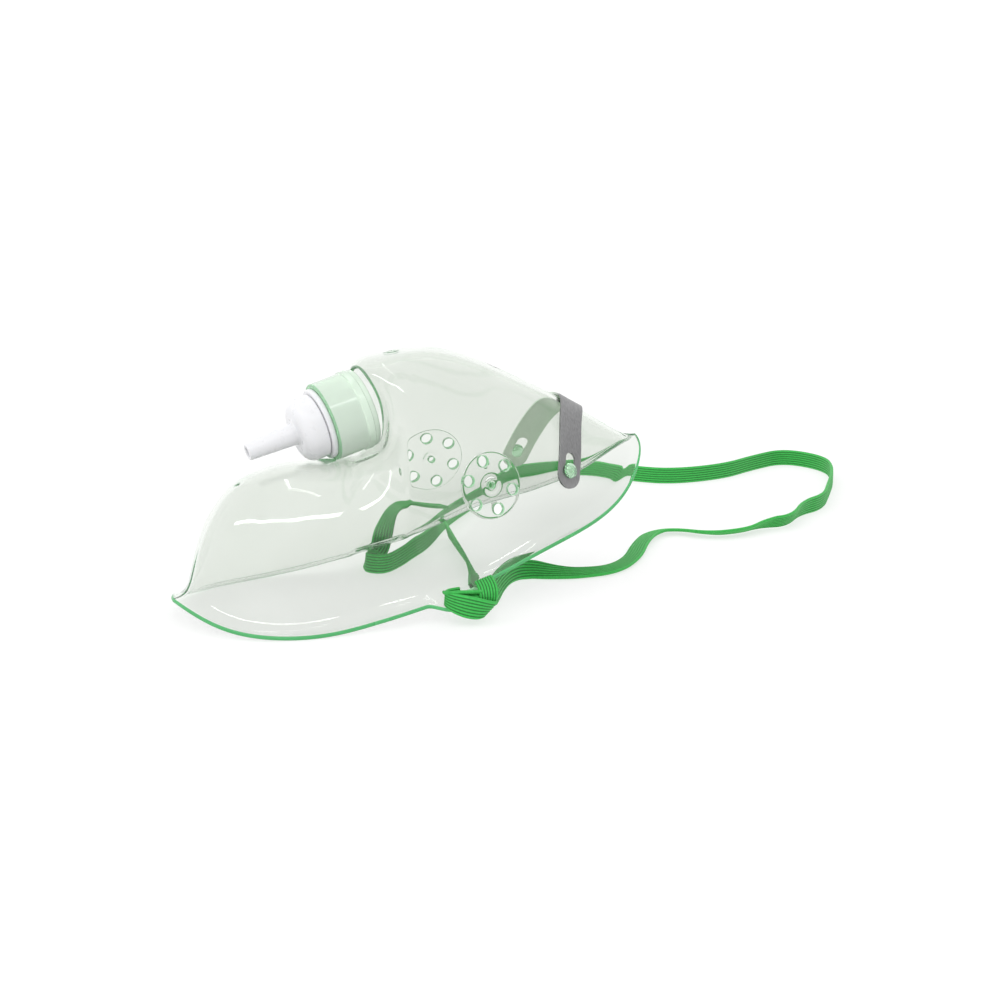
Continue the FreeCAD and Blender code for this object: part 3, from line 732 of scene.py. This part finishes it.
VENT_AT = (14.2, 20.5, 36.3)
VENT_RADIUS = 10.3
VENT_PROUD = 0.3
VENT_ROOT = -0.6
VENT_HOLE = 1.65
VENT_CIRCLE = 7.65
VENT_COUNT = 6
BOSS_RADIUS = 2.35
BOSS_PROUD = 0.6
BOSS_HOLE = 0.9
HOLE_ROUND = 0.28
GATE_AT = (-8.0, 0.0, 76.0)
GATE_STRETCH = 1.7
GATE_PROFILE = [(0.05, 0.05), (0.75, 0.05), (0.95, 0.1), (1.3, 0.11), (1.5, 0.06), (1.55, -0.5), (0.05, -0.5)]


def frame_at(target):
    """The surface's own frame at the point nearest to target: place, normal and two tangents."""
    place, normal = single(*nearest(np.array(target)))
    side = unit(np.cross(normal, UPRIGHT))
    return place, normal, side, np.cross(normal, side)


def conformal_button(name, tree, place, normal, side, other, profile, stretch=1.0, segments=96):
    """A low relief that follows the shell: an outline of (radius, height above the surface)."""
    angles = np.linspace(0, 2 * math.pi, segments, endpoint=False)
    rings = []
    for radius, height in profile:
        ring = []
        for t in angles:
            flat = place + side * (radius * stretch * math.cos(t)) + other * (radius * math.sin(t))
            hit = tree.ray_cast(Vector((flat + normal * 12) * MM), Vector(-normal))[0]
            base = np.array(hit) / MM if hit else flat
            ring.append(base + normal * height)
        rings.append(np.array(ring))
    faces = ring_faces(len(rings), segments)
    faces += [tuple(range(segments)), tuple(len(rings) * segments - 1 - j for j in range(segments))]
    return tidy(mesh_object(name, np.concatenate(rings), faces))


def vent_button(tree, target):
    place, normal, side, other = frame_at(target)
    down, r = VENT_ROOT, VENT_RADIUS
    profile = [(0.05, BOSS_PROUD), (BOSS_RADIUS - 0.3, BOSS_PROUD), (BOSS_RADIUS - 0.05, BOSS_PROUD - 0.12),
               (BOSS_RADIUS + 0.12, VENT_PROUD + 0.15), (BOSS_RADIUS + 0.4, VENT_PROUD), (4.0, VENT_PROUD)]
    profile += [(x, VENT_PROUD) for x in (5.0, 6.0, 7.0, 8.0, 9.0)]
    profile += [(r - 0.35, VENT_PROUD), (r - 0.12, VENT_PROUD - 0.08), (r, VENT_PROUD - 0.25)]
    profile.append((r + 0.03, down))
    profile += [(x, down) for x in (8.0, 6.0, 4.0, 2.0, 0.05)]
    return conformal_button("vent", tree, place, normal, side, other, profile)


def hole_tool(place, normal, radius, top, bottom):
    """A cutter whose two ends flare, so the hole's edges come out rounded."""
    flare = radius + HOLE_ROUND * 1.3
    arc = [(radius + HOLE_ROUND * (1 - math.cos(angle)), HOLE_ROUND * (1 - math.sin(angle)))
           for angle in np.radians((0, 20, 40, 60, 80))]
    outline = [(0.0, bottom - 1.5), (flare, bottom - 1.5)]
    outline += [(r, bottom + inset) for r, inset in reversed(arc)]
    outline += [(r, top - inset) for r, inset in arc]
    outline += [(flare, top + 1.5), (0.0, top + 1.5)]
    return lathe("hole", outline, place, normal, segments=40)


def vent_holes(target):
    centre, normal, side, other = frame_at(target)
    tools = [hole_tool(centre, normal, BOSS_HOLE, BOSS_PROUD, -SHELL_WALL)]
    for number in range(VENT_COUNT):
        turn = 2 * math.pi / VENT_COUNT * (number + 0.25)
        spot = centre + (side * math.cos(turn) + other * math.sin(turn)) * VENT_CIRCLE
        place, own, *_ = frame_at(spot)
        tools.append(hole_tool(place, own, VENT_HOLE, VENT_PROUD, -SHELL_WALL))
    return tools


def stadium(length, width, steps=16):
    """The outline of a bar with round ends."""
    half, r = length / 2 - width / 2, width / 2
    ends = []
    for side in (1, -1):
        for angle in np.linspace(-math.pi / 2, math.pi / 2, steps):
            ends.append((side * (half + r * math.cos(angle)), side * r * math.sin(angle)))
    return np.array(ends)


def bar(name, length, width, centre, levels):
    """A bar with round ends on the lug's own axes: (level, how far the outline moves in) up its side."""
    rings = []
    for level, inset in levels:
        flat = stadium(length - 2 * inset, width - 2 * inset)
        rings.append(centre + flat[:, :1] * LUG_ALONG + flat[:, 1:] * LUG_OUT + LUG_UP * level)
    count = len(rings[0])
    faces = ring_faces(len(rings), count)
    faces += [tuple(range(count)), tuple(len(rings) * count - 1 - j for j in range(count))]
    return tidy(mesh_object(name, np.concatenate(rings), faces))


def slot_tool():
    half, r = LUG_THICK / 2, 0.35
    levels = [(-5, -r * 1.2), (-half, -r * 0.9), (-half + 0.3 * r, -0.3 * r), (-half + r, 0),
              (half - r, 0), (half - 0.3 * r, -0.3 * r), (half, -r * 0.9), (5, -r * 1.2)]
    return bar("slot", SLOT_LENGTH, SLOT_WIDTH, LUG_AT + LUG_ALONG * SLOT_SHIFT + LUG_OUT * SLOT_OUT, levels)


def mirrored(obj):
    """A copy of a tool on the other side."""
    copy = obj.copy()
    copy.data = obj.data.copy()
    scene.collection.objects.link(copy)
    copy.data.transform(Matrix.Scale(-1, 4, Vector((0, 1, 0))))
    return tidy(copy)


# ---- port: collar, sleeve and connector ----------------------------------------------------------

# Radii, and heights along the port's axis from the collar's mouth.
COLLAR_R, COLLAR_BORE_R, COLLAR_DEPTH = 12.0, 10.2, 13.4
BAND_R, BAND_FOOT, BAND_TOP = 12.35, -11.8, -9.35
COLLAR_LIP = -0.45
AIR = 0.03


def port_tool():
    outline = [(0, -16), (COLLAR_R + AIR, -16), (COLLAR_R + AIR, BAND_FOOT), (BAND_R + AIR, BAND_FOOT + 0.3),
               (BAND_R + AIR, BAND_TOP), (COLLAR_R + AIR, BAND_TOP + 0.1), (COLLAR_R + AIR, 4), (0, 4)]
    return lathe("port", outline, PORT_AT, PORT_OUT)


def gate_mark(tree):
    """The low oval moulding mark on the crown."""
    place, normal = single(nearest(np.array(GATE_AT))[0], 1.0)
    normal = unit(normal * (1, 0, 1))
    return conformal_button("gate", tree, place * (1, 0, 1), normal, np.cross(normal, (0, 1, 0)),
                            np.array((0.0, 1.0, 0.0)), GATE_PROFILE, stretch=GATE_STRETCH)


def make_shell():
    shell = shell_blank()
    blank = bmesh.new()
    blank.from_mesh(shell.data)
    tree = BVHTree.FromBMesh(blank)
    blank.free()
    vent = vent_button(tree, VENT_AT)
    added = [vent, mirrored(vent), gate_mark(tree)]
    for piece in added:
        piece.data.materials.append(CLEAR_PVC)
    shell = cut_or_add(shell, join("added", added), "UNION")
    holes = vent_holes(VENT_AT) + [slot_tool()]
    cuts = holes + [mirrored(tool) for tool in holes] + [port_tool()]
    for piece in cuts:
        for made in (CLEAR_PVC, RIM_PVC, CUT_PVC):
            piece.data.materials.append(made)
        piece.data.polygons.foreach_set("material_index", [2] * len(piece.data.polygons))
    shell = cut_or_add(shell, join("cuts", cuts), "DIFFERENCE")
    shell = tidy(shell)
    shell.name = "shell"
    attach(shell, "mask")
    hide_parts("mask_shell")
    print("shell faces", len(shell.data.polygons))


make_shell()


def make_port():
    foot = -COLLAR_DEPTH
    collar = lathe("collar", rounded(
        [(COLLAR_BORE_R, foot), (COLLAR_R, foot), (COLLAR_R, BAND_FOOT), (BAND_R, BAND_FOOT + 0.3),
         (BAND_R, BAND_TOP - 0.3), (COLLAR_R, BAND_TOP), (COLLAR_R, 0), (COLLAR_BORE_R + 0.02, 0)],
        [0.4, 0.4, 0.1, 0.12, 0.12, 0.1, 0.5, 0.4]), PORT_AT, PORT_OUT, 160)
    for made in (GREEN_PVC, CUT_PVC):
        collar.data.materials.append(made)
    for face in collar.data.polygons:
        height = (np.array(face.center) / MM - PORT_AT) @ PORT_OUT
        face.material_index = int(height > COLLAR_LIP)
    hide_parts("port_collar")
    sleeve = lathe("sleeve", rounded(
        [(8.5, -9.0), (COLLAR_BORE_R - 0.02, -9.0), (COLLAR_BORE_R - 0.02, 0.03), (10.8, 0.03), (10.8, 1.6),
         (8.5, 1.6)], [0.2, 0.3, 0.1, 0.3, 0.5, 0.2]), PORT_AT, PORT_OUT, 160)
    sleeve.data.materials.append(WHITE_PLASTIC)
    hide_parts("connector_sleeve")
    connector = lathe("connector", rounded(
        [(7.0, -10.55), (8.9, -10.55), (8.9, -9.15), (8.42, -9.15), (8.42, 1.75), (9.7, 1.75), (9.7, 8.9),
         (3.35, 8.9), (2.6, 24.5), (1.6, 24.5), (1.6, 6.9), (7.0, 5.3)],
        [0.2, 0.3, 0.05, 0.05, 0.1, 0.45, 3.6, 0.9, 0.45, 0.35, 0.2, 0.5], steps=8), PORT_AT, PORT_OUT, 160)
    connector.data.materials.append(WHITE_PLASTIC)
    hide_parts("swivel_connector")
    for obj, body in ((collar, "mask"), (sleeve, "mask"), (connector, "connector")):
        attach(obj, body)


make_port()

# ---- nose clip and its studs ---------------------------------------------------------------------

CLIP_TOP = np.array((52.5, 0, 56.4))
CLIP_TIP = np.array((43.2, 20.3, 37.0))
CLIP_WIDTH, CLIP_THICK, CLIP_GAP = 8.6, 0.7, 0.3
CLIP_HOLE_WIDTH, CLIP_HOLE_LENGTH, CLIP_HOLE_BACK, STUD_BACK = 3.6, 7.6, 3.2, 1.2
STRIP_STEPS = 240
STUD_OUTLINE = [(0.0, -0.02), (1.3, -0.02), (1.3, 1.12), (2.4, 1.12), (2.4, 1.7), (1.5, 2.3), (0.0, 2.4)]
STUD_ROUNDS = [0, 0.05, 0.15, 0.2, 0.4, 0.6, 0]


def strip_table():
    """Frames along the clip's +Y wing, by distance from the ridge."""
    top, tip = nearest(CLIP_TOP), nearest(CLIP_TIP)
    frames = []
    for share in np.linspace(0, 1, STRIP_STEPS):
        across, up = top[0] + (tip[0] - top[0]) * share, 0.998 + (tip[1] - 0.998) * share
        place, normal = single(across, up)
        if share == 0:
            place, normal = place * (1, 0, 1), unit(normal * (1, 0, 1))
        frames.append((place, normal))
    places, normals = (np.array(x) for x in zip(*frames))
    lengths = np.concatenate([[0], np.cumsum(np.linalg.norm(np.diff(places, axis=0), axis=1))])
    ahead = np.gradient(places, lengths, axis=0)
    ahead[0] = (0, 1, 0)
    return lengths, places, normals, unit(ahead)


STRIP = strip_table()


def strip_frame(distance):
    lengths, places, normals, ahead = STRIP
    inside = min(distance, lengths[-1])
    place, normal, on = (np.array([np.interp(inside, lengths, v[:, k]) for k in range(3)])
                         for v in (places, normals, ahead))
    on, normal = unit(on), unit(normal)
    wide = unit(np.cross(on, normal))
    return place + on * (distance - inside), normal, on, wide


def bend_to_strip(obj):
    """Wraps a flat piece, laid along X with Z up, over the ridge of the nose."""
    for v in obj.data.vertices:
        x, y, z = (c / MM for c in v.co)
        place, normal, _on, wide = strip_frame(abs(x))
        point = place + wide * y + normal * z
        v.co = Vector(np.array((point[0], math.copysign(1, x) * point[1] if x else point[1], point[2])) * MM)
    obj.data.update()
    return tidy(obj)


def flat_plate(name, length, width, low, high, slices=0):
    """A flat bar with round ends, cut across into slices so that it bends."""
    outline = stadium(length, width, 24)
    count = len(outline)
    points = [(x, y, z) for z in (low, high) for x, y in outline]
    faces = [tuple(reversed(range(count))), tuple(range(count, 2 * count))]
    faces += [(j, (j + 1) % count, count + (j + 1) % count, count + j) for j in range(count)]
    obj = mesh_object(name, points, faces, smooth=False)
    mesh = bmesh.new()
    mesh.from_mesh(obj.data)
    for x in np.linspace(-length / 2, length / 2, slices + 2)[1:-1]:
        everything = mesh.verts[:] + mesh.edges[:] + mesh.faces[:]
        bmesh.ops.bisect_plane(mesh, geom=everything, plane_co=(x * MM, 0, 0), plane_no=(1, 0, 0))
    mesh.to_mesh(obj.data)
    mesh.free()
    return obj


def make_clip():
    reach = STRIP[0][-1]
    clip = flat_plate("clip", 2 * reach + CLIP_WIDTH, CLIP_WIDTH, CLIP_GAP, CLIP_GAP + CLIP_THICK, 90)
    holes = []
    for side in (-1, 1):
        hole = flat_plate("clip_hole", CLIP_HOLE_LENGTH, CLIP_HOLE_WIDTH, -2, 4)
        hole.data.transform(Matrix.Translation((side * (reach - CLIP_HOLE_BACK) * MM, 0, 0)))
        holes.append(hole)
    clip = cut_or_add(clip, join("clip_holes", holes), "DIFFERENCE")
    edge = clip.modifiers.new("edge", "BEVEL")
    edge.width, edge.segments, edge.limit_method, edge.angle_limit = 0.13 * MM, 2, "ANGLE", math.radians(50)
    graph = bpy.context.evaluated_depsgraph_get()
    clip.data = bpy.data.meshes.new_from_object(clip.evaluated_get(graph), depsgraph=graph)
    clip.modifiers.clear()
    bend_to_strip(clip)
    clip.data.polygons.foreach_set("use_smooth", [True] * len(clip.data.polygons))
    clip.name = "clip"
    clip.data.materials.clear()
    clip.data.materials.append(CLIP_METAL)
    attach(clip, "mask")
    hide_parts("nose_clip")


def make_studs():
    place, normal, _on, _wide = strip_frame(STRIP[0][-1] - STUD_BACK)
    outline = rounded(STUD_OUTLINE, STUD_ROUNDS, steps=5)
    stud = lathe("studs", outline, place, normal, 64)
    studs = join("studs", [stud, mirrored(stud)])
    studs.data.materials.clear()
    studs.data.materials.append(STUD_PVC)
    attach(studs, "mask")
    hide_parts("clip_studs")


make_clip()
make_studs()

# ---- floor and light -----------------------------------------------------------------------------

FLOOR_HALF = 30.0
FLOOR_GLOW_NEAR, FLOOR_GLOW_FAR = 0.69, 0.77
FLOOR_NEAR, FLOOR_FAR = 0.4, 3.0
FLOOR_TONES = ((0.29, 0.29, 0.29), (0.31, 0.31, 0.31))
WORLD_DARK, WORLD_BRIGHT = 0.75, 1.10
WORLD_FROM, WORLD_TO = -0.42, 0.14
LIGHT_CENTRE = Vector((0.0, 0.0, 0.03))
LIGHT_DISTANCE = 1.27
# Bent softboxes: name, corners as (bearing, height), width and radiance.
STRIPS = (
    ("side", ((-73, 30), (-124, 45), (-168, 48), (-194, 44), (-199, 42)), 0.055, 9.0),
    ("top", ((3, 56), (-3, 70), (-60, 86), (165, 78), (158, 64)), 0.03, 4.5),
)
WORLD_BRIGHT_WAY = (-0.45, 0.62, 0.64)


def make_floor():
    points = [(x, y, 0) for x, y in ((-1, -1), (1, -1), (1, 1), (-1, 1))]
    floor = mesh_object("floor", np.array(points) * FLOOR_HALF / MM, [(0, 1, 2, 3)], smooth=False)
    made, tree, shader = material("floor", Roughness=0.8, Specular_IOR_Level=0.1)
    shader.inputs["Emission Color"].default_value = (1, 1, 1, 1)
    away = node(tree, "ShaderNodeVectorMath", operation="LENGTH")
    tree.links.new(object_place(tree), away.inputs[0])
    glow = node(tree, "ShaderNodeMapRange", interpolation_type="SMOOTHSTEP")
    set_range(glow, FLOOR_NEAR, FLOOR_FAR, FLOOR_GLOW_NEAR, FLOOR_GLOW_FAR)
    tree.links.new(away.outputs["Value"], glow.inputs["Value"])
    tree.links.new(glow.outputs["Result"], shader.inputs["Emission Strength"])
    tree.links.new(blend_colours(tree, noise_value(tree, 3, 0, 1), *FLOOR_TONES), shader.inputs["Base Color"])
    floor.data.materials.append(made)


def make_world():
    """White all round for what is seen past the floor, softly graded for what the object reflects: darker
    low down on the camera's side."""
    world = bpy.data.worlds.new("studio")
    world.use_nodes = True
    tree = world.node_tree
    back = tree.nodes["Background"]
    back.inputs["Color"].default_value = (1, 1, 1, 1)
    place = tree.nodes.new("ShaderNodeTexCoord").outputs["Generated"]
    toward = node(tree, "ShaderNodeVectorMath", operation="DOT_PRODUCT")
    tree.links.new(place, toward.inputs[0])
    toward.inputs[1].default_value = WORLD_BRIGHT_WAY
    shift = node(tree, "ShaderNodeMapRange", interpolation_type="SMOOTHSTEP")
    set_range(shift, WORLD_FROM, WORLD_TO, WORLD_DARK, WORLD_BRIGHT)
    tree.links.new(toward.outputs["Value"], shift.inputs["Value"])
    tree.links.new(shift.outputs["Result"], back.inputs["Strength"])
    scene.world = world


def direction(bearing, height):
    """A direction, from its bearing off +Y toward +X and its height, in degrees."""
    bearing, height = math.radians(bearing), math.radians(height)
    flat = math.cos(height)
    return Vector((math.sin(bearing) * flat, math.cos(bearing) * flat, math.sin(height)))


def strip_light(name, start, end, width, radiance):
    """A narrow softbox between two directions from the object, facing it."""
    first, last = (LIGHT_CENTRE + direction(*place) * LIGHT_DISTANCE for place in (start, end))
    data = bpy.data.lights.new(name, "AREA")
    data.shape, data.size, data.size_y = "RECTANGLE", (last - first).length, width
    data.energy = math.pi * data.size * data.size_y * radiance
    light = bpy.data.objects.new(name, data)
    middle = (first + last) / 2
    back, along = (middle - LIGHT_CENTRE).normalized(), (last - first).normalized()
    up = back.cross(along).normalized()
    turn = Matrix((up.cross(back), up, back)).transposed()
    light.matrix_world = Matrix.Translation(middle) @ turn.to_4x4()
    scene.collection.objects.link(light)


def make_light():
    make_world()
    for title, places, width, radiance in STRIPS:
        for number, (start, end) in enumerate(zip(places, places[1:])):
            strip_light(f"{title}_{number}", start, end, width, radiance)
    scene.view_settings.view_transform = "Standard"
    # Light runs a long way inside the thin wall before it leaves, so it needs many bounces.
    scene.cycles.max_bounces = 64
    scene.cycles.transmission_bounces = 64
    scene.cycles.glossy_bounces = 48
    scene.cycles.transparent_max_bounces = 16


make_floor()
make_light()
